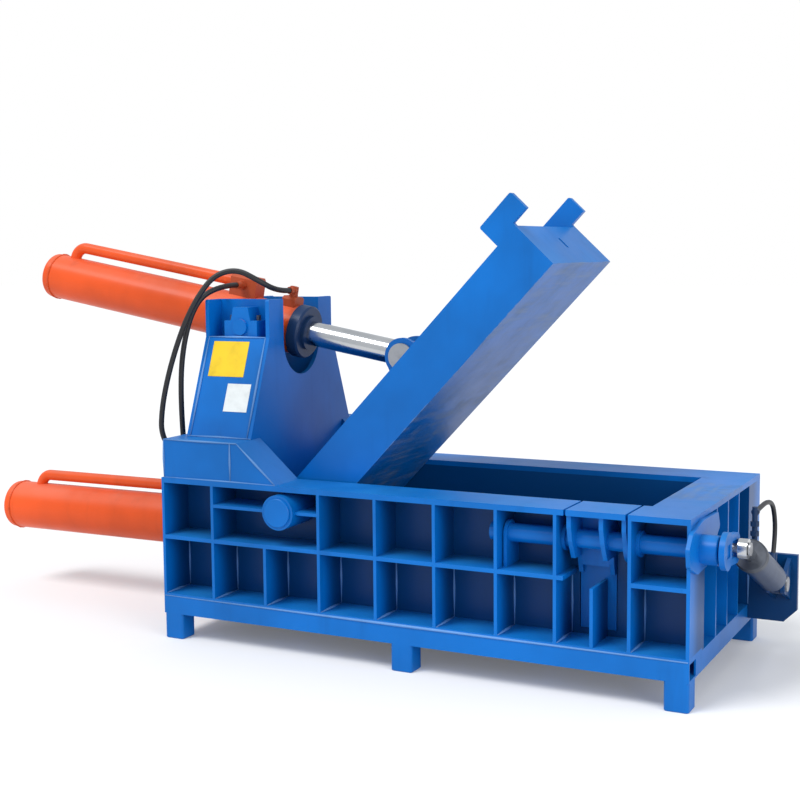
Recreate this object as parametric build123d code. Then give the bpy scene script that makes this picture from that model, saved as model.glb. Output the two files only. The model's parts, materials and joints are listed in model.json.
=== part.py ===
from build123d import *
import math
import os

# Hydraulic scrap baler with a lid and a turn-out tray. Millimetres, +Z up.
# Sizes are set out from the front left floor corner of the press box: x along the
# box, y back from its front face, z up from the floor. The finished pieces are moved
# so that the origin lies on the floor, midway along and across the whole machine.

# Press box
box_length = 2450
box_width = 1200
foot_height = 118
foot_size = 100
foot_round = 14
rail_height = 82
rail_width = 100
rail_web = 8
sole_plate = 12
wall_top = 754
top_plate = 24
wall_reach = 216
wall_plate = 26
rib_plate = 14
rib_pitch = 276
mid_plate = 18
mid_level = 478
floor_plate = 36
end_reach = 210
end_plate = 30
end_rib_count = 3
rear_plate = 40
cross_rail_count = 3

# Lid and its hinge
hinge_x = 635
hinge_z = 640
hinge_pin_radius = 45
hinge_boss_radius = 78
hinge_cap_radius = 64
hinge_cap_proud = 30
hinge_cap_thick = 10
lid_open_angle = 46.4
lid_depth = 228
lid_wall = 20
lid_side_gap = 13
lid_end_gap = 10
ear_length = 200
ear_height = 96
ear_overhang = 85
ear_plate = 30
ear_lift = 15
end_slot_length = 62
end_slot_width = 22
end_slot_drop = 104

# Lid cylinder, measured along its own axis from the trunnion
trunnion_x = 240
trunnion_z = 1432
lid_barrel_radius = 115
lid_barrel_back = 1362
lid_barrel_front = 160
lid_rod_radius = 58
lid_rod_inside = 560
lid_gland_radius = 126
lid_gland_length = 56
trunnion_radius = 38
trunnion_collar = 56
barrel_cap_round = 20
lid_eye_along = 717
lid_eye_above = 86
eye_radius = 62
eye_pin_radius = 35
eye_width = 116
lug_plate = 24
lug_radius = 86
open_pivot_clearance = 25
pin_cap_radius = 62
pin_cap_thick = 10

# Oil pipes on both press cylinders
pipe_radius = 28
pipe_bend_radius = 66
lid_pipe_stand_off = 58
lid_pipe_back = 1236
lid_pipe_front = 165
port_block_length = 150
port_block_width = 84
port_block_over_pipe = 34
front_port_start = 64
front_port_length = 72
front_port_rise = 40
front_riser_place = 100
front_riser_height = 202
front_fitting_height = 185
front_fitting_end = 44
rear_fitting_height = 165
rear_fitting_end = 100

# Yoke that carries the lid cylinder
yoke_back_x = 55
yoke_front_x = 408
yoke_plate = 20
yoke_foot_half = 468
yoke_head_half = 292
yoke_shoulder_z = 1385
yoke_top_z = 1560
yoke_notch_half = 165
yoke_notch_z = 1361
yoke_corner_round = 10
skin_plate = 16
deck_bottom = 530
deck_plate = 30
deck_start = 130
deck_end = 500
cheek_inset = 8
cheek_start = 10
cheek_length = 400
cheek_height = 178
gusset_run = 200
saddle_length = 180
cap_crown_inset = 14
cap_rise = 92
cap_shoulder = 30
cap_bolt_radius = 12

# Main cylinder and ram
ram_axis_z = 425
main_barrel_radius = 125
main_tail = 1418
main_barrel_inside = 127
main_flange_size = 330
main_flange_plate = 45
main_bolt_spacing = 243
main_bolt_radius = 18
main_bolt_head = 20
main_rod_radius = 46
main_pipe_stand_off = 48
main_pipe_back = 1243
main_pipe_front = 98
main_rod_tail = 110
ram_length = 500
ram_back = 130
ram_side_gap = 4
ram_floor_gap = 2
ram_top = 512
ram_wall = 40

# Turn-out tray, its axle and crank
tray_end_gap = 254
tray_length = 242
panel_length = 150
seam_gap = 10
axle_y = 108
axle_z = 622
axle_radius = 38
axle_length = 850
axle_clearance = 0.06
axle_square = 52
tray_arm_plate = 18
tray_arm_drop = 150
tray_arm_foot = 24
tray_arm_waist = 74
tray_arm_round = 78
tray_toe = 210
tray_toe_plate = 22
tray_toe_tip = 20
tray_clearance = 4
tray_swing = 115
bearing_plate = 16
bearing_round = 36
sleeve_length = 70
sleeve_radius = 58
crank_gap = 10
crank_plate = 22
crank_hub_radius = 74
crank_half_width = 60
crank_reach = 186
crank_corner = 40
crank_radius = 130
crank_start_angle = -5
crank_pin_radius = 18
crank_slot_inward = 78
crank_slot_outward = 32
crank_slot_half = 34
crank_slot_round = 14

# Turn-out cylinder and its bracket
pivot_stand_off = 104
pivot_z = 334
small_barrel_radius = 60
small_barrel_start = 112
small_rod_show = 157.5
small_rod_radius = 26
small_rod_inside = 60
small_gland_radius = 66
small_gland_length = 40
small_eye_radius = 46
small_eye_width = 36
small_eye_gap = 10
small_pin_radius = 22
rod_eye_radius = 40
riser_inset = 22
riser_radius = 11
riser_top_z = 744
rear_port_place = 140
rear_port_height = 100
bracket_reach = 212
bracket_plate = 26
bracket_lug = 18
bracket_lug_gap = 3
bracket_low = 140
bracket_high = 440
bracket_chamfer = 56

# Hoses
hose_radius = 13
small_hose_radius = 10
fitting_radius = 18
hose_gap = 0.3
manifold_length = 130
manifold_width = 134
manifold_low = 560
manifold_high = 640

# Derived places
base_top = foot_height + rail_height
sole_top = base_top + sole_plate
under_flange = wall_top - top_plate
chamber_front = wall_reach
chamber_back = box_width - wall_reach
chamber_end = box_length - end_reach
middle_y = box_width / 2
floor_top = base_top + floor_plate
mid_bottom = mid_level - mid_plate / 2
mid_top = mid_level + mid_plate / 2
cheek_top = wall_top + cheek_height
deck_top = deck_bottom + deck_plate
lid_front = chamber_front + lid_side_gap
lid_back = chamber_back - lid_side_gap
lid_reach = chamber_end - lid_end_gap - hinge_x
lid_half = lid_depth / 2
tray_right = box_length - tray_end_gap
tray_left = tray_right - tray_length
panel_right = tray_left + panel_length
axle_left = box_length - axle_length
sleeve_x = box_length + bearing_plate
crank_x = sleeve_x + sleeve_length + crank_gap
crank_pin_y = axle_y + crank_radius * math.cos(math.radians(crank_start_angle))
crank_pin_z = axle_z + crank_radius * math.sin(math.radians(crank_start_angle))
small_axis_x = crank_x + crank_plate + small_eye_gap + small_eye_width / 2
bracket_front_y = chamber_back
bracket_tip = box_length + bracket_reach
pivot_y = bracket_front_y - pivot_stand_off
small_pin_spacing = math.hypot(pivot_y - crank_pin_y, crank_pin_z - pivot_z)

# The turn-out cylinder's barrel fills the space between its pins, in whole millimetres
small_barrel_length = round(small_pin_spacing - small_barrel_start - small_rod_show)
riser_place = small_barrel_start + small_barrel_length - riser_inset

# The whole machine is centred on the origin
middle_x = (bracket_tip - main_tail) / 2


def block(x0, x1, y0, y1, z0, z1):
    """A straight-sided block between two corners."""
    centre = Pos((x0 + x1) / 2, (y0 + y1) / 2, (z0 + z1) / 2)
    return centre * Box(x1 - x0, y1 - y0, z1 - z0)


def plate_across(points, x0, x1):
    """A flat plate square to the length of the box, outlined by (y, z) points."""
    outline = Plane.YZ.offset(x0) * Polygon(*points, align=None)
    return extrude(outline, amount=x1 - x0, dir=(1, 0, 0))


def plate_along(points, y0, y1):
    """A flat plate square to the width of the box, outlined by (x, z) points."""
    outline = Plane.XZ.offset(-y0) * Polygon(*points, align=None)
    return extrude(outline, amount=y1 - y0, dir=(0, 1, 0))


def bar_x(radius, x0, x1, y, z):
    """A round bar along the length of the box."""
    return Pos((x0 + x1) / 2, y, z) * Rot(0, 90, 0) * Cylinder(radius, x1 - x0)


def bar_y(radius, y0, y1, x, z):
    """A round bar across the box."""
    return Pos(x, (y0 + y1) / 2, z) * Rot(90, 0, 0) * Cylinder(radius, y1 - y0)


def bar_z(radius, z0, z1, x, y):
    """A round upright bar."""
    return Pos(x, y, (z0 + z1) / 2) * Cylinder(radius, z1 - z0)


def mirrored(shape):
    """The same piece on the back side of the machine."""
    return mirror(shape, about=Plane.XZ.offset(-middle_y))


def both_sides(shape):
    return [shape, mirrored(shape)]


def foot_places():
    """Feet under both rails, at the ends and in the middle."""
    stations = (foot_size / 2, box_length / 2, box_length - foot_size / 2)
    rows = (foot_size / 2, box_width - foot_size / 2)
    return [(x, y) for x in stations for y in rows]


def make_feet():
    feet = []
    for x, y in foot_places():
        foot = Pos(x, y, foot_height / 2) * Box(foot_size, foot_size, foot_height)
        foot = fillet(foot.edges().filter_by(Axis.Z), foot_round)
        feet.append(chamfer(foot.faces().sort_by(Axis.Z)[0].edges(), 4))
    return feet


def channel_profile():
    """A rail's section: web outside, two flanges turned in."""
    outer = [(0, foot_height), (rail_width, foot_height), (rail_width, foot_height + rail_web)]
    inner = [(rail_web, foot_height + rail_web), (rail_web, base_top - rail_web)]
    top = [(rail_width, base_top - rail_web), (rail_width, base_top), (0, base_top)]
    return outer + inner + top


def make_side_rails():
    return both_sides(plate_across(channel_profile(), 0, box_length))


def make_cross_rails():
    """Channels that tie the two side rails, one at each end and the rest between."""
    rails = []
    left = plate_along(channel_profile(), rail_width, box_width - rail_width)
    right = mirror(left, about=Plane.YZ.offset(box_length / 2))
    rails.append(left)
    rails.append(right)
    bay = box_length / (cross_rail_count + 1)
    for number in range(1, cross_rail_count + 1):
        rails.append(Pos(number * bay - rail_width / 2, 0, 0) * left)
    return rails


def make_sole_plates():
    return both_sides(block(0, box_length, 0, chamber_front - wall_plate, base_top, sole_top))


def make_floor():
    return block(0, chamber_end, chamber_front, chamber_back, base_top, floor_top)


def make_front_wall():
    """Inner wall plate with the opening that the turn-out tray closes."""
    left = tray_left - tray_clearance
    right = panel_right + tray_clearance
    under_tray = under_flange - tray_clearance / 2
    points = [
        (0, base_top),
        (box_length, base_top),
        (box_length, under_flange),
        (tray_right + tray_clearance, under_flange),
        (tray_right + tray_clearance, under_tray),
        (right, under_tray),
        (right, floor_top),
        (left, floor_top),
        (left, under_flange),
        (0, under_flange),
    ]
    wall = plate_along(points, chamber_front - wall_plate, chamber_front)
    return wall - hinge_bore()


def make_back_wall():
    wall = block(0, box_length, chamber_back, chamber_back + wall_plate, base_top, under_flange)
    return wall - hinge_bore()


def hinge_bore():
    return bar_y(hinge_boss_radius, 0, box_width, hinge_x, hinge_z)


def make_front_flanges():
    """Top flange in two lengths, parted where the tray carries its own."""
    left = block(0, tray_left - seam_gap, 0, wall_reach, under_flange, wall_top)
    right = block(tray_right + seam_gap, box_length, 0, wall_reach, under_flange, wall_top)
    return [left, right]


def make_back_flange():
    return block(0, box_length, chamber_back, box_width, under_flange, wall_top)


def lower_rib_stations():
    """Left faces of the ribs under the middle rail."""
    left_of_tray = tray_left - seam_gap - 3 * rib_plate
    right_of_tray = tray_right + seam_gap
    under_tray = (left_of_tray + right_of_tray) / 2
    count = int(left_of_tray / rib_pitch)
    even = [number * rib_pitch - rib_plate / 2 for number in range(1, count + 1)]
    return [0] + even + [left_of_tray, under_tray, right_of_tray, box_length - rib_plate]


def upper_rib_stations():
    """The bay of the hinge boss and that of the tray have no rib inside them."""
    kept = []
    for station in lower_rib_stations():
        by_hinge = abs(station - hinge_x) < hinge_boss_radius + rib_plate
        in_tray = tray_left < station < tray_right
        if not by_hinge and not in_tray:
            kept.append(station)
    return kept


def tray_sweep():
    """Radius that the tray's flange piece sweeps about the axle."""
    return math.hypot(axle_y, wall_top - axle_z)


def make_ribs(stations, z0, z1, clear):
    depth = chamber_front - wall_plate
    ribs = []
    for station in stations:
        in_tray = tray_left < station < tray_right
        top = axle_z - tray_sweep() - tray_clearance if in_tray else z1
        back = depth - tray_clearance if in_tray else depth
        rib = block(station, station + rib_plate, 0, back, z0, top)
        if clear and station > axle_left:
            rib -= bar_x(axle_radius + 2, station - 1, station + rib_plate + 1, axle_y, axle_z)
        ribs.append(rib)
    return ribs


def make_mid_rail():
    return block(0, box_length, 0, chamber_front - wall_plate, mid_bottom, mid_top)


def make_front_mid_rail():
    """The front rail stops each side of the bay that the tray swings in."""
    left = tray_left - seam_gap
    right = tray_right + seam_gap
    return make_mid_rail() - block(left, right, -1, wall_reach, mid_bottom, mid_top)


def make_hinge_rails():
    """Short shelves each side of the hinge boss, at the height of its centre."""
    depth = chamber_front - wall_plate
    z0 = hinge_z - rib_plate / 2
    z1 = hinge_z + rib_plate / 2
    bay_left = rib_pitch + rib_plate / 2
    bay_right = 3 * rib_pitch - rib_plate / 2
    edge = math.sqrt(hinge_boss_radius ** 2 - (rib_plate / 2) ** 2)
    left = block(bay_left, hinge_x - edge, 0, depth, z0, z1)
    right = block(hinge_x + edge, bay_right, 0, depth, z0, z1)
    boss = bar_y(hinge_boss_radius + 0.2, -1, depth + 1, hinge_x, hinge_z)
    pieces = [left - boss, right - boss]
    return pieces + [mirrored(piece) for piece in pieces]


def make_hinge_bosses():
    """Thick tubes welded through each side wall, with the lid's pin in them."""
    boss = bar_y(hinge_boss_radius, -hinge_cap_proud + hinge_cap_thick, chamber_front, hinge_x, hinge_z)
    boss -= bar_y(hinge_pin_radius, -hinge_cap_proud, chamber_front + 1, hinge_x, hinge_z)
    return both_sides(boss)


def make_hinge_pin():
    """One pin right across, with a retaining disc on each end."""
    pin = bar_y(
        hinge_pin_radius,
        -hinge_cap_proud + hinge_cap_thick,
        box_width + hinge_cap_proud - hinge_cap_thick,
        hinge_x,
        hinge_z,
    )
    cap = bar_y(hinge_cap_radius, -hinge_cap_proud, -hinge_cap_proud + hinge_cap_thick, hinge_x, hinge_z)
    cap = chamfer(cap.faces().sort_by(Axis.Y)[0].edges(), 3)
    return pin + cap + mirrored(cap)


def make_end_wall():
    return block(
        chamber_end, chamber_end + end_plate, chamber_front, chamber_back, base_top, under_flange
    )


def end_rib_stations():
    """Centres of the upright ribs behind the end wall."""
    clear_width = chamber_back - chamber_front
    bay = clear_width / (end_rib_count + 1)
    return [chamber_front + bay * number for number in range(1, end_rib_count + 1)]


def make_end_ribs():
    ribs = []
    for station in end_rib_stations():
        y0 = station - rib_plate / 2
        y1 = station + rib_plate / 2
        ribs.append(block(chamber_end + end_plate, box_length, y0, y1, base_top, under_flange))
    return ribs


def make_end_flange():
    return block(chamber_end, box_length, chamber_front, chamber_back, under_flange, wall_top)


def main_pipe_height():
    return ram_axis_z + main_barrel_radius + main_pipe_stand_off


def make_rear_wall():
    """Left end plate, bored for the main cylinder and its oil pipe."""
    wall = block(0, rear_plate, chamber_front, chamber_back, floor_top, under_flange)
    wall -= bar_x(main_barrel_radius + 0.5, -1, rear_plate + 1, middle_y, ram_axis_z)
    return wall - bar_x(pipe_radius + 0.5, -1, rear_plate + 1, middle_y, main_pipe_height())


def make_deck():
    return block(deck_start, deck_end, chamber_front, chamber_back, deck_bottom, deck_top)


def make_cheek_blocks():
    """Closed boxes on both walls that raise the yoke's foot, sloping down in front."""
    x1 = cheek_start + cheek_length
    points = [(cheek_start, wall_top), (x1 + gusset_run, wall_top), (x1, cheek_top), (cheek_start, cheek_top)]
    return both_sides(plate_along(points, cheek_inset, chamber_front - cheek_inset))


def yoke_outline():
    """Half outline of a yoke plate, from the deck up to its top corner."""
    foot = middle_y - yoke_foot_half
    head = middle_y - yoke_head_half
    return [
        (chamber_front, deck_top),
        (chamber_front, cheek_top),
        (foot, cheek_top),
        (head, yoke_shoulder_z),
        (head, yoke_top_z),
    ]


def make_yoke_plate(x0):
    """Upright plate with a round-bottomed notch for the lid cylinder."""
    half = yoke_outline()
    points = half + [(box_width - y, z) for y, z in reversed(half)]
    plate = plate_across(points, x0, x0 + yoke_plate)
    corners = plate.edges().filter_by(Axis.X).group_by(Axis.Z)[-1]
    plate = fillet(corners, yoke_corner_round)
    notch = bar_x(yoke_notch_half, x0 - 1, x0 + yoke_plate + 1, middle_y, yoke_notch_z)
    slot = block(
        x0 - 1,
        x0 + yoke_plate + 1,
        middle_y - yoke_notch_half,
        middle_y + yoke_notch_half,
        yoke_notch_z,
        yoke_top_z + 1,
    )
    plate -= notch + slot
    if x0 == yoke_back_x:
        hole = pipe_radius + 9
        plate -= bar_x(hole, x0 - 1, x0 + yoke_plate + 1, middle_y, main_pipe_height())
        plate -= block(
            x0 - 1, x0 + yoke_plate + 1, middle_y - hole, middle_y + hole, deck_top - 1, main_pipe_height()
        )
    return plate


def yoke_inside():
    """Span between the two yoke plates."""
    return yoke_back_x + yoke_plate, yoke_front_x - yoke_plate


def make_tower_skins():
    """Leaning outer plate of each tower, bent level under the trunnion bearing."""
    x0, x1 = yoke_inside()
    foot = middle_y - yoke_foot_half
    head = middle_y - yoke_head_half
    inner = middle_y - yoke_notch_half - yoke_plate
    points = [
        (foot, cheek_top),
        (foot + skin_plate, cheek_top),
        (head + skin_plate, yoke_shoulder_z - skin_plate),
        (inner, yoke_shoulder_z - skin_plate),
        (inner, yoke_shoulder_z),
        (head, yoke_shoulder_z),
    ]
    return both_sides(plate_across(points, x0, x1))


def make_tower_inner_plates():
    """Upright plates beside the notch, bored for the trunnions."""
    x0, x1 = yoke_inside()
    edge = middle_y - yoke_notch_half
    plate = block(x0, x1, edge - yoke_plate, edge, deck_top, yoke_top_z)
    plate -= bar_y(trunnion_collar, edge - yoke_plate - 1, edge + 1, trunnion_x, trunnion_z)
    return both_sides(plate)


def trunnion_bore(y0, y1):
    return bar_y(trunnion_radius + axle_clearance, y0, y1, trunnion_x, trunnion_z)


def bearing_span():
    y0 = middle_y - yoke_head_half + skin_plate
    y1 = middle_y - yoke_notch_half - yoke_plate
    return y0, y1


def make_trunnion_saddles():
    """Lower halves of the trunnion bearings."""
    y0, y1 = bearing_span()
    half = saddle_length / 2
    saddle = block(trunnion_x - half, trunnion_x + half, y0, y1, yoke_shoulder_z, trunnion_z)
    return both_sides(saddle - trunnion_bore(y0 - 1, y1 + 1))


def make_trunnion_caps():
    """Upper halves with sloping shoulders, bolted down on the saddles."""
    y0, y1 = bearing_span()
    half = saddle_length / 2
    root = half - 3 * cap_bolt_radius
    crown = root - cap_crown_inset
    shoulder = trunnion_z + cap_shoulder
    points = [
        (trunnion_x - half, trunnion_z),
        (trunnion_x + half, trunnion_z),
        (trunnion_x + half, shoulder),
        (trunnion_x + root, shoulder),
        (trunnion_x + crown, trunnion_z + cap_rise),
        (trunnion_x - crown, trunnion_z + cap_rise),
        (trunnion_x - root, shoulder),
        (trunnion_x - half, shoulder),
    ]
    cap = plate_along(points, y0, y1)
    return both_sides(cap - trunnion_bore(y0 - 1, y1 + 1))


def make_cap_bolts():
    """Hexagon heads on the shoulders of the bearing caps."""
    y0, y1 = bearing_span()
    z0 = trunnion_z + cap_shoulder
    bolts = []
    for side in (-1, 1):
        x = trunnion_x + side * (saddle_length / 2 - 1.4 * cap_bolt_radius)
        head = extrude(RegularPolygon(cap_bolt_radius, 6), amount=2 * cap_bolt_radius)
        bolts += both_sides(Pos(x, (y0 + y1) / 2, z0) * head)
    return bolts


# Lid, drawn closed and then swung open about its pin

def swing_open(shape):
    to_pin = Pos(hinge_x, 0, hinge_z)
    back = Pos(-hinge_x, 0, -hinge_z)
    return to_pin * Rot(0, -lid_open_angle, 0) * back * shape


def make_lid():
    """Box beam with a round root that turns on the pin."""
    z0 = hinge_z - lid_half
    z1 = hinge_z + lid_half
    body = block(hinge_x, hinge_x + lid_reach, lid_front, lid_back, z0, z1)
    body += bar_y(lid_half, lid_front, lid_back, hinge_x, hinge_z)
    hollow = block(
        hinge_x + lid_half,
        hinge_x + lid_reach - lid_wall,
        lid_front + lid_wall,
        lid_back - lid_wall,
        z0 + lid_wall,
        z1 - lid_wall,
    )
    body -= hollow
    body -= bar_y(hinge_pin_radius + axle_clearance, lid_front - 1, lid_back + 1, hinge_x, hinge_z)
    slot_z = z1 - end_slot_drop
    tip = hinge_x + lid_reach
    slot = Pos(tip - lid_wall / 2, middle_y, slot_z) * Rot(0, 90, 0) * extrude(
        SlotOverall(end_slot_length, end_slot_width), amount=lid_wall, both=True
    )
    return swing_open(body - slot)


def make_lid_ears():
    """Stop plates that stand on the sides and reach over the end wall."""
    z1 = hinge_z + lid_half
    tip = hinge_x + lid_reach
    root = tip + ear_overhang - ear_length
    points = [
        (root, z1),
        (tip, z1),
        (tip + 1, z1 + ear_lift),
        (tip + ear_overhang, z1 + ear_lift),
        (tip + ear_overhang, z1 + ear_lift + ear_height),
        (root, z1 + ear_lift + ear_height),
    ]
    ear = plate_along(points, lid_front, lid_front + ear_plate)
    corners = ear.edges().filter_by(Axis.Y).group_by(Axis.Z)[-1]
    ear = fillet(corners, 10)
    return [swing_open(piece) for piece in both_sides(ear)]


def lid_eye_closed():
    """Centre of the rod pin with the lid shut."""
    return hinge_x + lid_eye_along, hinge_z + lid_half + lid_eye_above


def lid_eye_place():
    """Centre of the rod pin with the lid open, in the (x, z) plane."""
    x, z = lid_eye_closed()
    turn = math.radians(lid_open_angle)
    run = x - hinge_x
    rise = z - hinge_z
    open_x = hinge_x + run * math.cos(turn) - rise * math.sin(turn)
    open_z = hinge_z + run * math.sin(turn) + rise * math.cos(turn)
    return open_x, open_z


def make_lid_lugs():
    """Two ears on the lid's back that take the rod pin with room to spare."""
    x, z = lid_eye_closed()
    z1 = hinge_z + lid_half
    y0 = middle_y - eye_width / 2 - 3 - lug_plate
    y1 = y0 + lug_plate
    foot = 1.5 * lug_radius
    lug = bar_y(lug_radius, y0, y1, x, z)
    lug += plate_along([(x - foot, z1), (x + foot, z1), (x + lug_radius * 0.8, z + lug_radius * 0.6),
                        (x - lug_radius * 0.8, z + lug_radius * 0.6)], y0, y1)
    lug -= block(x - 2 * foot, x + 2 * foot, y0 - 1, y1 + 1, z1 - lug_radius, z1)
    lug -= bar_y(eye_pin_radius + open_pivot_clearance, y0 - 1, y1 + 1, x, z)
    return [swing_open(piece) for piece in both_sides(lug)]


# Lid cylinder, drawn along +X from the trunnion and then tilted

def lid_cylinder_tilt():
    """Angle by which the cylinder points down towards the lid."""
    x, z = lid_eye_place()
    return math.degrees(math.atan2(trunnion_z - z, x - trunnion_x))


def lid_cylinder_reach():
    """Distance from the trunnion to the rod pin with the lid open."""
    x, z = lid_eye_place()
    return math.hypot(x - trunnion_x, z - trunnion_z)


def on_lid_cylinder(shape):
    return Pos(trunnion_x, middle_y, trunnion_z) * Rot(0, lid_cylinder_tilt(), 0) * shape


def capped_barrel(radius, back, front, round_radius):
    """A round barrel along +X with a rounded tail."""
    barrel = Pos((front - back) / 2, 0, 0) * Rot(0, 90, 0) * Cylinder(radius, front + back)
    return fillet(barrel.edges().sort_by(Axis.X)[0], round_radius)


def make_lid_barrel():
    """Barrel with its two trunnion pins and their collars."""
    barrel = capped_barrel(lid_barrel_radius, lid_barrel_back, lid_barrel_front, barrel_cap_round)
    outer = yoke_head_half - 4
    collar_end = yoke_notch_half - 6
    barrel += bar_y(trunnion_radius, -outer, outer, 0, 0)
    barrel += bar_y(trunnion_collar - 3, -collar_end, collar_end, 0, 0)
    bore = bar_x(lid_rod_radius + axle_clearance, -lid_rod_inside, lid_barrel_front + 1, 0, 0)
    return on_lid_cylinder(barrel - bore)


def make_lid_gland():
    """Gland flange with a raised ring round the rod."""
    x0 = lid_barrel_front
    x1 = x0 + lid_gland_length
    gland = bar_x(lid_gland_radius, x0, x1, 0, 0)
    gland = chamfer(gland.faces().sort_by(Axis.X)[-1].edges(), 8)
    gland += bar_x(lid_rod_radius + 24, x1, x1 + 16, 0, 0)
    gland -= bar_x(lid_rod_radius + axle_clearance, x0 - 1, x1 + 20, 0, 0)
    return on_lid_cylinder(gland)


def make_lid_rod():
    """Chromed rod from inside the barrel to its eye."""
    reach = lid_cylinder_reach()
    start = lid_barrel_front - lid_rod_inside + 60
    rod = bar_x(lid_rod_radius, start, reach, 0, 0)
    return on_lid_cylinder(rod - bar_y(eye_radius, -eye_width, eye_width, reach, 0))


def make_lid_rod_eye():
    reach = lid_cylinder_reach()
    half = eye_width / 2
    eye = bar_y(eye_radius, -half, half, reach, 0)
    return on_lid_cylinder(eye - bar_y(eye_pin_radius, -half - 1, half + 1, reach, 0))


def make_lid_rod_pin():
    """Pin held in the eye, with discs that cover the lugs' holes."""
    reach = lid_cylinder_reach()
    half = eye_width / 2 + 3 + lug_plate + 3
    pin = bar_y(eye_pin_radius, -half, half, reach, 0)
    for side in (-1, 1):
        inner = side * half
        outer = side * (half + pin_cap_thick)
        pin += bar_y(pin_cap_radius, min(inner, outer), max(inner, outer), reach, 0)
    return on_lid_cylinder(pin)


def oil_pipe(radius, stand_off, back, front, drop):
    """Pipe that leaves the tail of a barrel, bends and runs forward along it."""
    height = radius + stand_off
    route = [(-back, 0, 0), (-back, 0, height), (front, 0, height)]
    if drop:
        route.append((front, 0, 0))
    path = FilletPolyline(*route, radius=pipe_bend_radius)
    pipe = sweep(Plane(origin=route[0], z_dir=(0, 0, 1)) * Circle(pipe_radius), path=path)
    return pipe - bar_x(radius, -back - 200, front + 200, 0, 0)


def make_lid_pipe():
    front = -lid_pipe_front - port_block_length / 2
    return on_lid_cylinder(oil_pipe(lid_barrel_radius, lid_pipe_stand_off, lid_pipe_back, front, False))


def port_block(x0, x1, radius, rise):
    """Machined block welded on a barrel, with sloping shoulders."""
    half = port_block_width / 2
    body = block(x0, x1, -half, half, radius * 0.8, radius + rise)
    shoulders = body.edges().filter_by(Axis.X).group_by(Axis.Z)[-1]
    return chamfer(shoulders, 12) - bar_x(radius + 0.2, x0 - 1, x1 + 1, 0, 0)


def hose_fitting(y0, y1, x, z):
    """Hose tail across the cylinder with a hexagon nut behind it."""
    nut_end = y0 + 0.55 * (y1 - y0)
    nut = Pos(x, y1, z) * Rot(90, 0, 0) * extrude(RegularPolygon(1.3 * fitting_radius, 6), amount=y1 - nut_end)
    return nut + bar_y(fitting_radius, y0, nut_end, x, z)


def make_lid_ports():
    """Pipe block behind the trunnion and a front block with a riser, each with a hose tail."""
    rear_x1 = -lid_pipe_front + port_block_length / 2
    rise = lid_pipe_stand_off + port_block_over_pipe
    rear = port_block(rear_x1 - port_block_length, rear_x1, lid_barrel_radius, rise)
    rear += hose_fitting(-rear_fitting_end, -port_block_width / 2 + 1, -lid_pipe_front, rear_fitting_height)
    front_x1 = front_port_start + front_port_length
    front = port_block(front_port_start, front_x1, lid_barrel_radius, front_port_rise)
    riser_foot = lid_barrel_radius + front_port_rise - 5
    front += bar_z(fitting_radius + 3, riser_foot, front_riser_height, front_riser_place, 0)
    front += hose_fitting(-front_fitting_end, 0, front_riser_place, front_fitting_height)
    return [on_lid_cylinder(rear), on_lid_cylinder(front)]


# Main cylinder and the ram it drives

def make_main_barrel():
    """Barrel with the square flange that bolts to the end wall."""
    barrel = capped_barrel(main_barrel_radius, main_tail, main_barrel_inside, barrel_cap_round)
    half = main_flange_size / 2
    flange = block(-main_flange_plate, 0, -half, half, -half, half)
    flange = chamfer(flange.edges().filter_by(Axis.X), 30)
    pipe_z = main_barrel_radius + main_pipe_stand_off
    barrel += flange - bar_x(pipe_radius + 4, -main_flange_plate - 1, 1, 0, pipe_z)
    bore_back = main_tail - main_rod_tail
    barrel -= bar_x(main_rod_radius + axle_clearance, -bore_back, main_barrel_inside + 1, 0, 0)
    return Pos(0, middle_y, ram_axis_z) * barrel


def make_main_bolts():
    """Hexagon heads at the corners of the cylinder's flange."""
    half = main_bolt_spacing / 2
    bolts = []
    for side in (-half, half):
        for level in (-half, half):
            head = extrude(RegularPolygon(main_bolt_radius, 6), amount=main_bolt_head)
            place = Pos(-main_flange_plate, middle_y + side, ram_axis_z + level)
            bolts.append(place * Rot(0, -90, 0) * head)
    return bolts


def make_main_pipe():
    pipe = oil_pipe(main_barrel_radius, main_pipe_stand_off, main_pipe_back, main_pipe_front, True)
    return Pos(0, middle_y, ram_axis_z) * pipe


def make_ram():
    """Press head: a box open at the back, with a thick face."""
    x1 = ram_back + ram_length
    y0 = chamber_front + ram_side_gap
    y1 = chamber_back - ram_side_gap
    z0 = floor_top + ram_floor_gap
    head = block(ram_back, x1, y0, y1, z0, ram_top)
    hollow = block(
        ram_back - 1, x1 - 2 * ram_wall, y0 + ram_wall, y1 - ram_wall, z0 + ram_wall, ram_top - ram_wall
    )
    return head - hollow


def make_main_rod():
    """Rod from the tail of the barrel to the back of the press face."""
    x0 = -(main_tail - main_rod_tail) + 10
    return bar_x(main_rod_radius, x0, ram_back + ram_length - 2 * ram_wall, middle_y, ram_axis_z)


# Turn-out tray with its axle

def make_tray():
    """The tray's own length of flange, with the wall panel and the toe under the bale."""
    inner = chamber_front
    outer = chamber_front - wall_plate
    toe_bottom = floor_top + tray_clearance / 2
    toe_top = toe_bottom + tray_toe_plate
    points = [
        (outer, under_flange),
        (outer, toe_bottom),
        (inner + tray_toe, toe_bottom),
        (inner + tray_toe, toe_bottom + tray_toe_plate / 2),
        (inner + tray_toe - tray_toe_tip, toe_top),
        (inner, toe_top),
        (inner, wall_top),
        (outer, wall_top),
    ]
    flange = block(tray_left, tray_right, 0, wall_reach, under_flange, wall_top)
    return flange + plate_across(points, tray_left, panel_right)


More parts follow.
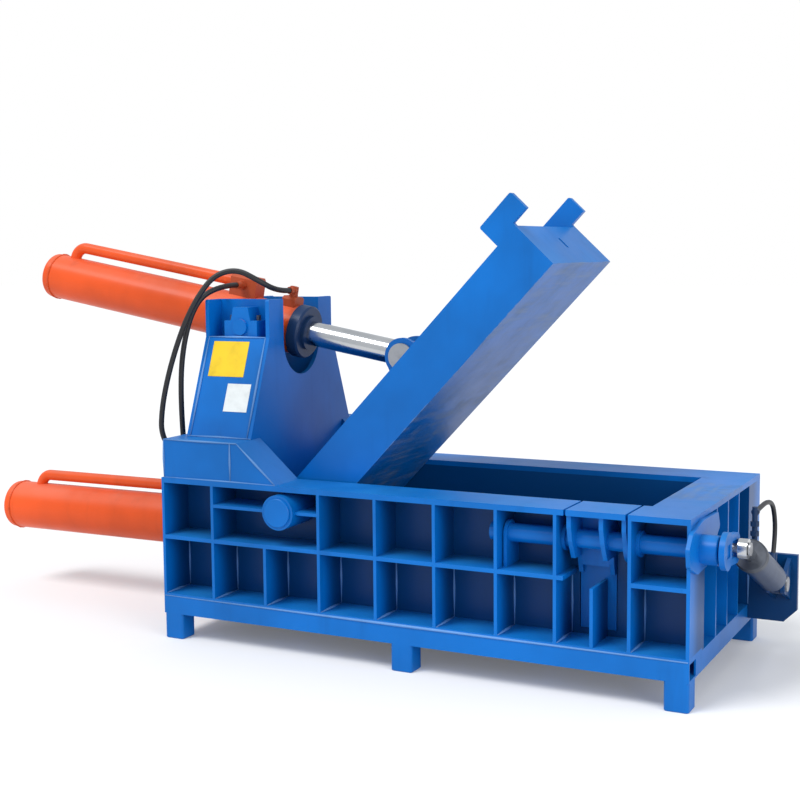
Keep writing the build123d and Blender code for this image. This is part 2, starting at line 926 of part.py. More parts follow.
def make_tray_arms():
    """Two side plates from the axle to the panel, and a short one at the far end."""
    outer = chamber_front - wall_plate
    foot = axle_z - tray_arm_drop
    waist = axle_z - tray_arm_waist
    points = [
        (tray_arm_foot / 2, under_flange),
        (outer, under_flange),
        (outer, foot),
        (outer - tray_arm_foot, foot),
        (axle_y + axle_radius, waist),
        (axle_y - axle_radius, waist),
        (axle_y - tray_arm_round, axle_z),
        (tray_arm_foot / 2, under_flange - 2 * tray_arm_foot),
    ]
    short = [
        (tray_arm_foot / 2, under_flange),
        (axle_y + tray_arm_round, under_flange),
        (axle_y + tray_arm_round, axle_z),
        (axle_y - tray_arm_round, axle_z),
        (tray_arm_foot / 2, under_flange - 2 * tray_arm_foot),
    ]
    arms = []
    for x0 in (tray_left, panel_right - tray_arm_plate):
        arms.append(plate_across(points, x0, x0 + tray_arm_plate))
    x0 = tray_right - tray_arm_plate
    arms.append(plate_across(short, x0, tray_right) + bar_x(tray_arm_round, x0, tray_right, axle_y, axle_z))
    return [arm - bar_x(axle_radius, axle_left, box_length, axle_y, axle_z) for arm in arms]


def make_tray_panel():
    """Stiffening panel behind the axle, between the two long arms."""
    x0 = tray_left + tray_arm_plate
    x1 = panel_right - tray_arm_plate
    y0 = axle_y + axle_radius + 6
    return block(x0, x1, y0, y0 + tray_arm_plate / 2, axle_z - 2 * sleeve_radius, under_flange)


def make_axle():
    """Round axle with a squared end that the crank sits on."""
    half = axle_square / 2
    x1 = crank_x - crank_gap / 2
    axle = bar_x(axle_radius, axle_left, x1, axle_y, axle_z)
    return axle + block(x1, crank_x + crank_plate - 6, axle_y - half, axle_y + half, axle_z - half, axle_z + half)


def make_crank():
    """Lever on the squared axle end, with a roomy slot for the rod pin."""
    x0 = crank_x
    x1 = crank_x + crank_plate
    lever = block(x0, x1, 0, crank_reach, -crank_half_width, crank_half_width)
    lever = fillet(lever.edges().filter_by(Axis.X).group_by(Axis.Y)[-1], crank_corner)
    lever += bar_x(crank_hub_radius, x0, x1, 0, 0)
    slot = block(
        x0 - 1,
        x1 + 1,
        crank_radius - crank_slot_inward,
        crank_radius + crank_slot_outward,
        -crank_slot_half,
        crank_slot_half,
    )
    lever -= fillet(slot.edges().filter_by(Axis.X), crank_slot_round)
    lever = Pos(0, axle_y, axle_z) * Rot(crank_start_angle, 0, 0) * lever
    half = axle_square / 2 + axle_clearance
    return lever - block(x0 - 1, x1 + 1, axle_y - half, axle_y + half, axle_z - half, axle_z + half)


def make_axle_bearings():
    """Rings on the ribs in which the axle turns, and a bearing on a foot at its left end."""
    stations = upper_rib_stations()
    ring_radius = axle_radius + rib_plate
    rings = []
    for rib in (stations[-3], stations[-2]):
        rings.append(bar_x(ring_radius, rib + rib_plate, rib + 2 * rib_plate, axle_y, axle_z))
    x0 = axle_left + rib_pitch / 4
    foot = [
        (axle_y - ring_radius, mid_top),
        (wall_reach - wall_plate, mid_top),
        (wall_reach - wall_plate, axle_z),
        (axle_y - ring_radius, axle_z),
    ]
    stand = plate_across(foot, x0, x0 + rib_plate)
    stand += bar_x(ring_radius, x0, x0 + rib_plate, axle_y, axle_z)
    rings.append(stand)
    bore = bar_x(axle_radius + axle_clearance, axle_left, box_length, axle_y, axle_z)
    return [ring - bore for ring in rings]


def bearing_outline():
    """Outline of the plate on the end of the box, reaching out past its front face."""
    front = axle_y - 3.2 * sleeve_radius
    back = axle_y + 4.9 * sleeve_radius
    return [
        (front + 14, axle_z - 40),
        (front, axle_z + 30),
        (front + 50, axle_z + 84),
        (axle_y + 30, wall_top - 22),
        (back - 30, wall_top - 30),
        (back, axle_z + 40),
        (axle_y + 1.6 * sleeve_radius, axle_z - 1.4 * sleeve_radius),
        (axle_y - sleeve_radius, axle_z - 1.5 * sleeve_radius),
    ]


def make_outer_bearing():
    """Leaning plate on the end of the box, with the long sleeve that guides the axle."""
    plate = plate_across(bearing_outline(), box_length, sleeve_x)
    plate = fillet(plate.edges().filter_by(Axis.X), bearing_round / 2)
    sleeve = bar_x(sleeve_radius, sleeve_x, sleeve_x + sleeve_length, axle_y, axle_z)
    sleeve = chamfer(sleeve.faces().sort_by(Axis.X)[-1].edges(), 4)
    bore = bar_x(axle_radius + axle_clearance, box_length - 1, sleeve_x + sleeve_length + 1, axle_y, axle_z)
    return plate + sleeve - bore


# Turn-out cylinder, drawn towards the front from its rear pin and then raised

def small_cylinder_angle():
    return math.degrees(math.atan2(crank_pin_z - pivot_z, pivot_y - crank_pin_y))


def on_small_cylinder(shape):
    return Pos(small_axis_x, pivot_y, pivot_z) * Rot(-small_cylinder_angle(), 0, 0) * shape


def small_barrel_end():
    return small_barrel_start + small_barrel_length


def small_barrel_point(along, height):
    """Place in the (y, z) plane of a point given along the barrel and above its axis."""
    turn = math.radians(small_cylinder_angle())
    y = pivot_y - along * math.cos(turn) + height * math.sin(turn)
    z = pivot_z + along * math.sin(turn) + height * math.cos(turn)
    return y, z


def make_small_barrel():
    """Barrel with its rear eye and a port at each end."""
    half = small_eye_width / 2
    barrel = bar_y(small_barrel_radius, -small_barrel_end(), -small_barrel_start, 0, 0)
    barrel = fillet(barrel.edges().sort_by(Axis.Y)[-1], 14)
    neck = small_eye_radius * 0.7
    barrel += bar_x(small_eye_radius, -half, half, 0, 0)
    barrel += block(-half, half, -small_barrel_start - 6, 0, -neck, neck)
    barrel += bar_z(1.5 * riser_radius, small_barrel_radius - 8, rear_port_height, 0, -rear_port_place)
    rod_bore = small_rod_radius + axle_clearance
    barrel -= bar_y(rod_bore, -small_barrel_end() - 1, -small_barrel_start - small_rod_inside + 5, 0, 0)
    barrel -= bar_x(small_pin_radius + axle_clearance, -half - 1, half + 1, 0, 0)
    return on_small_cylinder(barrel) + make_riser()


def make_riser():
    """Upright pipe on the front of the barrel with three nuts and an elbow at its top."""
    y, z0 = small_barrel_point(riser_place, small_barrel_radius - 8)
    riser = bar_z(riser_radius, z0, riser_top_z, small_axis_x, y)
    step = (riser_top_z - z0) / 4
    for number in (1, 2):
        nut = extrude(RegularPolygon(1.6 * riser_radius, 6), amount=step / 2)
        riser += Pos(small_axis_x, y, z0 + number * step) * nut
    return riser + bar_y(1.4 * riser_radius, y, riser_hose_start() - hose_gap, small_axis_x, riser_hose_z())


def riser_hose_start():
    y, z = small_barrel_point(riser_place, small_barrel_radius - 8)
    return y + 2 * riser_radius


def riser_hose_z():
    return riser_top_z - 2 * riser_radius


def make_small_gland():
    y0 = small_barrel_end()
    y1 = y0 + small_gland_length
    gland = bar_y(small_gland_radius, -y1, -y0, 0, 0)
    gland = chamfer(gland.faces().sort_by(Axis.Y)[0].edges(), 6)
    return on_small_cylinder(gland - bar_y(small_rod_radius + axle_clearance, -y1 - 1, -y0 + 1, 0, 0))


def make_small_rod():
    """Rod with its eye at the crank."""
    reach = small_pin_spacing
    half = small_eye_width / 2
    rod = bar_y(small_rod_radius, -reach, -small_barrel_start - small_rod_inside, 0, 0)
    rod += bar_x(rod_eye_radius, -half, half, -reach, 0)
    rod -= block(-small_rod_radius, -half, -reach - rod_eye_radius, -reach + rod_eye_radius, -60, 60)
    rod -= block(half, small_rod_radius, -reach - rod_eye_radius, -reach + rod_eye_radius, -60, 60)
    pin_hole = bar_x(crank_pin_radius, -small_gland_radius, small_gland_radius, -reach, 0)
    return on_small_cylinder(rod - pin_hole)


def make_small_rod_pin():
    """Pin fast in the rod's eye, reaching through both levers."""
    reach = small_pin_spacing
    inner = crank_x - small_axis_x - crank_gap / 2
    outer = small_eye_width / 2 + 2
    pin = bar_x(crank_pin_radius, inner, outer, -reach, 0)
    return on_small_cylinder(pin + bar_x(crank_pin_radius + 8, outer, outer + 8, -reach, 0))


def make_pivot_pin():
    """Rear pin of the turn-out cylinder."""
    half = small_eye_width / 2 + bracket_lug_gap + bracket_lug
    pin = bar_x(small_pin_radius, small_axis_x - half, small_axis_x + half, pivot_y, pivot_z)
    return pin + bar_x(small_pin_radius + 10, small_axis_x + half, small_axis_x + half + 8, pivot_y, pivot_z)


def make_turnout_bracket():
    """Large plate off the end of the box, with two lugs for the cylinder's rear pin."""
    points = [
        (box_length, bracket_low),
        (bracket_tip - bracket_chamfer, bracket_low),
        (bracket_tip, bracket_low + bracket_chamfer),
        (bracket_tip, bracket_high),
        (box_length, bracket_high),
    ]
    bracket = plate_along(points, bracket_front_y, bracket_front_y + bracket_plate)
    gap = small_eye_width / 2 + bracket_lug_gap
    root = 2 * small_eye_radius
    for x0 in (small_axis_x - gap - bracket_lug, small_axis_x + gap):
        x1 = x0 + bracket_lug
        outline = [
            (bracket_front_y, pivot_z - root),
            (bracket_front_y, pivot_z + root),
            (pivot_y, pivot_z + small_eye_radius),
            (pivot_y, pivot_z - small_eye_radius),
        ]
        lug = plate_across(outline, x0, x1) + bar_x(small_eye_radius, x0, x1, pivot_y, pivot_z)
        bracket += lug - bar_x(small_pin_radius, x0 - 1, x1 + 1, pivot_y, pivot_z)
    return bracket


# Hoses and the block on the end wall that feeds them

def lid_cylinder_point(along, height):
    """Place in the (x, z) plane of a point given along the lid cylinder and above its axis."""
    turn = math.radians(lid_cylinder_tilt())
    x = trunnion_x + along * math.cos(turn) + height * math.sin(turn)
    z = trunnion_z - along * math.sin(turn) + height * math.cos(turn)
    return x, z


def bend_radii(route):
    """Radius of each bend: under half of its shorter run, by how sharply it turns."""
    places = [Vector(*point) for point in route]
    radii = []
    for before, here, after in zip(places, places[1:], places[2:]):
        first = here - before
        second = after - here
        half_turn = math.radians(first.get_angle(second)) / 2
        radii.append(0.45 * min(first.length, second.length) / math.tan(half_turn))
    return radii


def make_hose(name, route, radius):
    radii = bend_radii(route)
    path = FilletPolyline(*route, radius=radii)
    start = Plane(origin=path @ 0, z_dir=path % 0)
    hose = sweep(start * Circle(radius), path=path)
    even = hose.volume / (math.pi * radius ** 2 * path.length)
    print(name, "length", round(path.length), "bends", [round(value) for value in radii], "even", round(even, 4))
    return hose


def front_hose_route():
    """From the riser of the lid cylinder over the tower and down behind the box."""
    x, z = lid_cylinder_point(front_riser_place, front_fitting_height)
    start = (x, middle_y - front_fitting_end - hose_gap, z)
    over = [(x, 444, z), (318, 358, z + 54), (222, 330, z + 106), (122, 290, z + 80), (60, 244, 1580)]
    down = [(10, 206, 1462), (-38, 188, 1330), (-80, 176, 1190), (-112, 171, 1050), (-127, 178, 920)]
    end_x, end_y = front_hose_foot()
    tail = [(end_x, end_y, 815), (end_x, end_y, manifold_high + 60)]
    return [start] + over + down + tail


def rear_hose_route():
    """From the pipe block of the lid cylinder down behind the box."""
    x, z = lid_cylinder_point(-lid_pipe_front, rear_fitting_height)
    start = (x, middle_y - rear_fitting_end - hose_gap, z)
    over = [(x, 395, z), (50, 300, z - 39), (12, 258, 1500), (-20, 244, 1385)]
    down = [(-44, 242, 1255), (-58, 252, 1118), (-64, 264, 980), (-66, 278, 850)]
    end_x, end_y = rear_hose_foot()
    tail = [(end_x, end_y, 765), (end_x, end_y, manifold_high + 40)]
    return [start] + over + down + tail


def turnout_hose_route():
    """From the riser's elbow in an arch to the rear port of the turn-out cylinder."""
    x = small_axis_x
    level = riser_hose_z()
    high_y, high_z = small_barrel_point(rear_port_place, rear_port_height + 95)
    end_y, end_z = small_barrel_point(rear_port_place, rear_port_height + hose_gap)
    start = riser_hose_start()
    arch = [(x, start + 88, level + 4), (x, start + 190, level + 6), (x, start + 292, level - 12)]
    return [(x, start, level)] + arch + [(x, high_y - 34, high_z + 96), (x, high_y, high_z), (x, end_y, end_z)]


def front_hose_foot():
    return -0.69 * manifold_length, chamber_front + 24


def rear_hose_foot():
    return -manifold_length / 2, chamber_front + 84


def make_manifold():
    """Oil block on the left end wall with an upright tail for each hose."""
    y0 = chamber_front
    body = block(-manifold_length, 0, y0, y0 + manifold_width, manifold_low, manifold_high)
    body = chamfer(body.edges().filter_by(Axis.Z), 6)
    for place, length in ((front_hose_foot(), 60), (rear_hose_foot(), 40)):
        x, y = place
        body += bar_z(fitting_radius, manifold_high, manifold_high + length - hose_gap, x, y)
        nut = extrude(RegularPolygon(1.3 * fitting_radius, 6), amount=0.4 * length)
        body += Pos(x, y, manifold_high) * nut
    return body


def group(shapes):
    """One node made of separate solids."""
    solids = []
    for shape in shapes:
        solids += list(shape.solids())
    return Compound(children=solids)


def write(name, shapes):
    """Move the pieces to the machine's frame and write one file."""
    if not isinstance(shapes, list):
        shapes = [shapes]
    placed = [Pos(-middle_x, -middle_y, 0) * shape for shape in shapes]
    export_step(group(placed), f"parts/{name}.step")


def front_ribs():
    lower = make_ribs(lower_rib_stations(), sole_top, mid_bottom, False)
    upper = make_ribs(upper_rib_stations(), mid_top, under_flange, True)
    return lower + upper


def back_ribs():
    lower = make_ribs(lower_rib_stations(), sole_top, mid_bottom, False)
    upper = make_ribs(upper_rib_stations(), mid_top, under_flange, False)
    return [mirrored(rib) for rib in lower + upper]


NODES = {
    "feet": make_feet,
    "side_rails": make_side_rails,
    "cross_rails": make_cross_rails,
    "sole_plates": make_sole_plates,
    "floor_plate": make_floor,
    "front_wall_plate": make_front_wall,
    "back_wall_plate": make_back_wall,
    "front_top_flanges": make_front_flanges,
    "back_top_flange": make_back_flange,
    "front_ribs": front_ribs,
    "back_ribs": back_ribs,
    "front_mid_rail": make_front_mid_rail,
    "back_mid_rail": lambda: mirrored(make_mid_rail()),
    "hinge_shelves": make_hinge_rails,
    "hinge_bosses": make_hinge_bosses,
    "lid_hinge_pin": make_hinge_pin,
    "end_wall_plate": make_end_wall,
    "end_ribs": make_end_ribs,
    "end_top_flange": make_end_flange,
    "rear_wall_plate": make_rear_wall,
    "ram_deck": make_deck,
    "cheek_blocks": make_cheek_blocks,
    "yoke_front_plate": lambda: make_yoke_plate(yoke_front_x - yoke_plate),
    "yoke_rear_plate": lambda: make_yoke_plate(yoke_back_x),
    "tower_skins": make_tower_skins,
    "tower_inner_plates": make_tower_inner_plates,
    "trunnion_saddles": make_trunnion_saddles,
    "trunnion_caps": make_trunnion_caps,
    "lid_box": make_lid,
    "lid_ears": make_lid_ears,
    "lid_lugs": make_lid_lugs,
    "lid_barrel": make_lid_barrel,
    "lid_gland": make_lid_gland,
    "lid_rod": make_lid_rod,
    "lid_rod_eye": make_lid_rod_eye,
    "lid_rod_pin": make_lid_rod_pin,
    "lid_oil_pipe": make_lid_pipe,
    "lid_port_blocks": make_lid_ports,
    "main_barrel": make_main_barrel,
    "hexagon_bolts": lambda: make_cap_bolts() + make_main_bolts(),
    "main_oil_pipe": make_main_pipe,
    "ram_head": make_ram,
    "main_rod": make_main_rod,
    "turnout_tray": make_tray,
    "tray_arms": make_tray_arms,
    "tray_panel": make_tray_panel,
    "turnout_axle": make_axle,
    "axle_bearings": make_axle_bearings,
    "turnout_crank": make_crank,
    "outer_bearing": make_outer_bearing,
    "turnout_bracket": make_turnout_bracket,
    "turnout_barrel": make_small_barrel,
    "turnout_gland": make_small_gland,
    "turnout_rod": make_small_rod,
    "turnout_rod_pin": make_small_rod_pin,
    "turnout_pivot_pin": make_pivot_pin,
    "oil_manifold": make_manifold,
    "front_oil_hose": lambda: make_hose("front_oil_hose", front_hose_route(), hose_radius),
    "rear_oil_hose": lambda: make_hose("rear_oil_hose", rear_hose_route(), hose_radius),
    "turnout_hose": lambda: make_hose("turnout_hose", turnout_hose_route(), small_hose_radius),
}


def main():
    os.makedirs("parts", exist_ok=True)
    for name, make in NODES.items():
        write(name, make())


main()
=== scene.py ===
import json
import math

import bmesh
import bpy
from bpy.props import FloatProperty, FloatVectorProperty, PointerProperty
from mathutils import Matrix, Vector


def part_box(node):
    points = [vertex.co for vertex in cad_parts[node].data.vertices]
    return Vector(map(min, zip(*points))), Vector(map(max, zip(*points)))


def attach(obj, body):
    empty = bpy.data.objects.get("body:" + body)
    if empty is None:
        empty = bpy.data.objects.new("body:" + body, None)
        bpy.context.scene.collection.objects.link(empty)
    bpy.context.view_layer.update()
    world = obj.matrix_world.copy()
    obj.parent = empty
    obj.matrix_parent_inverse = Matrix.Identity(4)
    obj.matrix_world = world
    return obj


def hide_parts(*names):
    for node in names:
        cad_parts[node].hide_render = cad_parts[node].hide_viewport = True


bl_info = {
    "name": "Scrap Baler",
    "version": (1, 0, 0),
    "blender": (4, 5, 0),
    "location": "3D View > Sidebar > Baler",
    "description": "Paint, welds, plates and hoses for a hydraulic scrap baler",
    "category": "Object",
}

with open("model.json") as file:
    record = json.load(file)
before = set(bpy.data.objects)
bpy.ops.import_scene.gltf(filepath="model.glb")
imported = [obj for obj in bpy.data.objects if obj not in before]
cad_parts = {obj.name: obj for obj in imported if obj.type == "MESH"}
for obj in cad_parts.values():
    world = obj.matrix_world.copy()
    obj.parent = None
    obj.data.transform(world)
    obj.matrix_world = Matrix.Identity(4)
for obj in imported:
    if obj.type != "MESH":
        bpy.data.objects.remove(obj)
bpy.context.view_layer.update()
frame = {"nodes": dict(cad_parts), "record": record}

FULL_TURN = 2 * math.pi
BOX_CORNER = Vector(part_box("side_rails")[0])

# Places on the machine in millimetres, from the front left floor corner of the press box
BOX_LENGTH = 2450
BOX_WIDTH = 1200
MIDDLE_Y = BOX_WIDTH / 2
SOLE_TOP = 213
FLANGE_TOP = 754
BLOCK_TOP = 930
BLOCK_RIGHT = 608
BLOCK_FRONT = 593
TOWER_FOOT_Z = 935
TOWER_HEAD_Z = 1386
TOWER_LEFT = 76
TOWER_RIGHT = 387
TOWER_FOOT_SPREAD = 470
TOWER_HEAD_SPREAD = 294
TOWER_SKIN_FOOT = (132, 932)
TOWER_SKIN_RISE = 453
TOWER_SKIN_RUN = 176
RIB_PLACES = (7, 276, 552, 828, 1104, 1380, 1656, 1909, 2213)
HINGE = (635, MIDDLE_Y, 640)
TRUNNION = (240, MIDDLE_Y, 1432)
MAIN_TAIL = (-1372, MIDDLE_Y, 425)

LID_OPEN = math.radians(46.4)
LID_CYLINDER_TILT = math.radians(10.2645)
LID_UNDERSIDE = -0.108


def at(x, y, z):
    """A place given in millimetres from the front left floor corner of the press box."""
    return Vector((BOX_CORNER.x + x / 1000, BOX_CORNER.y + y / 1000, z / 1000))


def spread(first, last, count):
    """Evenly spaced numbers from the first to the last."""
    return [first + (last - first) * number / (count - 1) for number in range(count)]


# Shader wiring

class Wire:
    """A shader socket that can stand in a sum."""

    def __init__(self, shade, socket):
        self.shade = shade
        self.socket = socket

    def _math(self, operation, first, second):
        values = {0: first, 1: second}
        return self.shade.add("ShaderNodeMath", {"operation": operation}, values)["Value"]

    def __add__(self, other):
        return self._math("ADD", self, other)

    def __radd__(self, other):
        return self._math("ADD", other, self)

    def __sub__(self, other):
        return self._math("SUBTRACT", self, other)

    def __rsub__(self, other):
        return self._math("SUBTRACT", other, self)

    def __mul__(self, other):
        return self._math("MULTIPLY", self, other)

    def __rmul__(self, other):
        return self._math("MULTIPLY", other, self)

    def __truediv__(self, other):
        return self._math("DIVIDE", self, other)

    def __pow__(self, other):
        return self._math("POWER", self, other)

    def at_least(self, other):
        return self._math("MAXIMUM", self, other)

    def between(self, low, high):
        """Rises smoothly from 0 at low to 1 at high."""
        settings = {"interpolation_type": "SMOOTHSTEP"}
        values = {"Value": self, "From Min": low, "From Max": high}
        return self.shade.add("ShaderNodeMapRange", settings, values)["Result"]


class Made:
    """A placed shader node whose outputs are read by name."""

    def __init__(self, shade, node):
        self.shade = shade
        self.node = node

    def __getitem__(self, name):
        for socket in self.node.outputs:
            if name in (socket.identifier, socket.name) and socket.enabled:
                return Wire(self.shade, socket)
        raise KeyError(name)


class Shade:
    """One material's nodes, ending in a single surface shader."""

    def __init__(self, name):
        self.material = bpy.data.materials.new(name)
        self.material.use_nodes = True
        self.tree = self.material.node_tree
        self.tree.nodes.clear()

    def add(self, kind, settings=None, inputs=None):
        """Place a node, set its own settings, then feed its inputs with values or wires."""
        node = self.tree.nodes.new(kind)
        for key, value in (settings or {}).items():
            setattr(node, key, value)
        for key, value in (inputs or {}).items():
            socket = self._input(node, key)
            if isinstance(value, Wire):
                self.tree.links.new(value.socket, socket)
            else:
                socket.default_value = value
        return Made(self, node)

    def _input(self, node, key):
        if isinstance(key, int):
            return node.inputs[key]
        for socket in node.inputs:
            if key in (socket.identifier, socket.name) and socket.enabled:
                return socket
        raise KeyError(key)

    def place(self):
        return self.add("ShaderNodeTexCoord")["Object"]

    def axis(self, letter):
        """One coordinate of the place, in metres."""
        return self.add("ShaderNodeSeparateXYZ", None, {"Vector": self.place()})[letter]

    def noise(self, scale, detail=3.0, stretch=(1, 1, 1), roughness=0.55):
        scaled = {"Vector": self.place(), "Scale": stretch}
        place = self.add("ShaderNodeMapping", None, scaled)["Vector"]
        values = {"Vector": place, "Scale": scale, "Detail": detail, "Roughness": roughness}
        return self.add("ShaderNodeTexNoise", None, values)["Fac"]

    def mix(self, first, second, amount):
        values = {"Factor_Float": amount, "A_Color": first, "B_Color": second}
        return self.add("ShaderNodeMix", {"data_type": "RGBA"}, values)["Result_Color"]

    def bump(self, height, distance, strength=1.0, under=None):
        """A normal bent by a height, on top of another normal if one is given."""
        values = {"Height": height, "Distance": distance, "Strength": strength}
        if under is not None:
            values["Normal"] = under
        return self.add("ShaderNodeBump", None, values)["Normal"]

    def upward(self):
        """How far a face looks up: 1 on a level top, 0 on a wall."""
        normal = self.add("ShaderNodeNewGeometry")["Normal"]
        return self.add("ShaderNodeSeparateXYZ", None, {"Vector": normal})["Z"].at_least(0.0)

    def surface(self, **values):
        """Close the tree with the surface shader. Input names use _ for a space."""
        inputs = {key.replace("_", " "): value for key, value in values.items()}
        shader = self.add("ShaderNodeBsdfPrincipled", None, inputs)
        self.add("ShaderNodeOutputMaterial", None, {"Surface": shader["BSDF"]})
        return self.material


def linear_part(part):
    """One channel of a screen colour in linear light."""
    if part <= 0.04045:
        return part / 12.92
    return ((part + 0.055) / 1.055) ** 2.4


def linear(colour):
    """A screen colour as the numbers that a shader takes."""
    return tuple(linear_part(part) for part in colour) + (1.0,)


def darker(colour, share):
    """A colour times a share. Above 1 it gets lighter."""
    return tuple(part * share for part in colour[:3]) + (1.0,)


def blended(first, second, share):
    """A colour that lies by a share on the way from the first to the second."""
    parts = zip(first[:3], second[:3])
    return tuple(a * (1 - share) + b * share for a, b in parts) + (1.0,)


# Finishes. Noise scales are per metre, and bump heights are in metres.

FINE_NOISE = 2.0
ROUGH_NOISE = 4.0
PATCHY_NOISE = 5.0
HANGING_RUN = (1.0, 1.0, 0.12)
BAY_DEPTH = 0.150
TRUNNION_START = 0.166
WARM_DUST = (0.7, 0.6, 0.5)
# Brown mixed into the port blocks' orange as painted shade.
PORT_SHADE_BROWN = (0.10, 0.05, 0.03)
# Grey mixed into the weld beads' blue as a painted highlight.
WELD_SHEEN_GREY = (0.35, 0.55, 0.80)
PRIMER_DARK = (0.10, 0.14, 0.18, 1.0)
PRIMER_LIGHT = (0.22, 0.26, 0.30, 1.0)
CHROME_BRIGHT = (0.62, 0.63, 0.64, 1.0)
CHROME_DULL = (0.50, 0.52, 0.54, 1.0)
PIN_STEEL = (0.42, 0.43, 0.45, 1.0)
BOLT_STEEL = (0.10, 0.11, 0.13, 1.0)
FLOOR_STEEL = (0.22, 0.24, 0.26, 1.0)
RUBBER_BLACK = (0.010, 0.010, 0.012, 1.0)
RUBBER_DUST = (0.060, 0.065, 0.072, 1.0)


def enamel(name, colour, dust, gloss, bay_shade=0.0, worn=None, ends=None):
    """Sprayed machine enamel: slight clouding, dust and painted top light on level faces, and a
    few runs.

    recess is a share of painted shade deep in the bays, worn is a mask of places greyed to
    primer, and ends is the colour of a barrel's trunnions.
    """
    shade = Shade(name)
    cloud = shade.noise(1.3, ROUGH_NOISE)
    runs = shade.noise(9.0, ROUGH_NOISE, HANGING_RUN)
    grain = shade.noise(420.0, FINE_NOISE)
    waves = shade.noise(5.0, FINE_NOISE)
    tone = shade.mix(darker(colour, 0.78), darker(colour, 1.12), cloud.between(0.30, 0.70))
    tone = shade.mix(tone, darker(colour, 0.55), runs.between(0.54, 0.80) * 0.40)
    # Painted shade: faces lying deeper than 0.15 m in from the box's front or back face are
    # darkened, fading out towards those faces.
    if bay_shade:
        back_face = BOX_CORNER.y + BOX_WIDTH / 1000
        inward = (shade.axis("Y") - BOX_CORNER.y).between(0.004, BAY_DEPTH)
        outward = (back_face - shade.axis("Y")).between(0.004, BAY_DEPTH)
        tone = shade.mix(tone, darker(colour, 0.30), inward * outward * bay_shade)
    if ends is not None:
        place_y = shade.axis("Y")
        from_middle = (place_y * place_y) ** 0.5
        beyond = from_middle.between(TRUNNION_START, TRUNNION_START + 0.004)
        tone = shade.mix(tone, ends, beyond)
    # Level faces are mixed in patches towards the second colour: partly dust, partly painted top
    # light on faces that look up.
    patches = shade.noise(3.2, PATCHY_NOISE).between(0.35, 0.75)
    dust_and_top_light_share = shade.upward().between(0.35, 0.95) * (0.25 + 0.50 * patches)
    tone = shade.mix(tone, dust, dust_and_top_light_share * 0.50)
    rough = gloss + 0.10 * runs + dust_and_top_light_share * 0.25
    if worn is not None:
        tone, rough = rubbed(shade, tone, rough, worn)
    normal = shade.bump(waves, 0.0016, 0.6)
    normal = shade.bump(grain, 0.00012, 0.6, normal)
    return shade.surface(
        Base_Color=tone, Roughness=rough, Normal=normal, IOR=1.30,
        Coat_Weight=0.06, Coat_Roughness=0.22,
    )


def rubbed(shade, tone, rough, worn):
    """Paint scraped to grey primer and steel where the mask and a patchy noise agree."""
    patch = shade.noise(5.0, 6.0, (1.0, 1.0, 1.0), 0.65)
    scratch = shade.noise(30.0, ROUGH_NOISE, (1.0, 0.10, 1.0))
    mask = worn(shade)
    chance = patch * 0.75 + scratch * 0.35 + mask * 0.30
    bare = chance.between(0.74, 1.05) * mask.between(0.02, 0.30)
    grey = shade.mix(PRIMER_DARK, PRIMER_LIGHT, scratch.between(0.35, 0.65))
    return shade.mix(tone, grey, bare * 0.6), rough + 0.15 * bare


def under_lid(shade):
    """1 on the lid's lower side and 0 elsewhere, with the lid swung open."""
    hinge = at(*HINGE)
    along = (shade.axis("X") - hinge.x) * math.sin(LID_OPEN)
    over = (shade.axis("Z") - hinge.z) * math.cos(LID_OPEN) - along
    return (LID_UNDERSIDE - over).between(0.0, 0.004)


def end_flange_grey_patch(shade):
    """A patch in the middle of the end flange that fades 0.3 m to either side."""
    aside = shade.axis("Y") - at(2330, 640, FLANGE_TOP).y
    return (1.0 - aside * aside / 0.09).between(0.0, 0.6)


def hard_chrome(name):
    """Ground and plated rod with a faint oil film."""
    shade = Shade(name)
    film = shade.noise(6.0, ROUGH_NOISE)
    rings = shade.noise(160.0, FINE_NOISE, (1.0, 0.05, 0.05))
    tone = shade.mix(CHROME_BRIGHT, CHROME_DULL, film.between(0.35, 0.75))
    rough = 0.10 + 0.10 * film + 0.05 * rings
    return shade.surface(Base_Color=tone, Roughness=rough, Metallic=1.0)


def turned_steel(name, colour, roughness):
    """Machined steel with tool marks and a little oil staining."""
    shade = Shade(name)
    stain = shade.noise(14.0, PATCHY_NOISE)
    marks = shade.noise(240.0, FINE_NOISE, (1.0, 0.1, 1.0))
    tone = shade.mix(colour, darker(colour, 0.55), stain.between(0.45, 0.75))
    rough = roughness + 0.18 * stain
    normal = shade.bump(marks, 0.0001, 0.5)
    return shade.surface(Base_Color=tone, Roughness=rough, Metallic=0.85, Normal=normal)


def paint_node(material, name):
    """Give a finish to one node of the CAD."""
    mesh = frame["nodes"][name].data
    mesh.materials.clear()
    mesh.materials.append(material)


def paint_nodes(material, slot_name):
    """Give a finish to every node that the record puts in one material slot."""
    for entry in frame["record"]["subparts"]:
        if entry["material_slot"] == slot_name:
            paint_node(material, entry["node"])


def hose_skin(name):
    """Matt black hose cover with a faint woven ripple and dust on its upper side."""
    shade = Shade(name)
    weave = shade.noise(260.0, FINE_NOISE)
    haze = shade.upward().between(0.2, 1.0) * shade.noise(8.0, ROUGH_NOISE).between(0.35, 0.75)
    tone = shade.mix(RUBBER_BLACK, RUBBER_DUST, haze)
    normal = shade.bump(weave, 0.0003, 0.5)
    return shade.surface(Base_Color=tone, Roughness=0.48 + 0.25 * haze, Normal=normal)


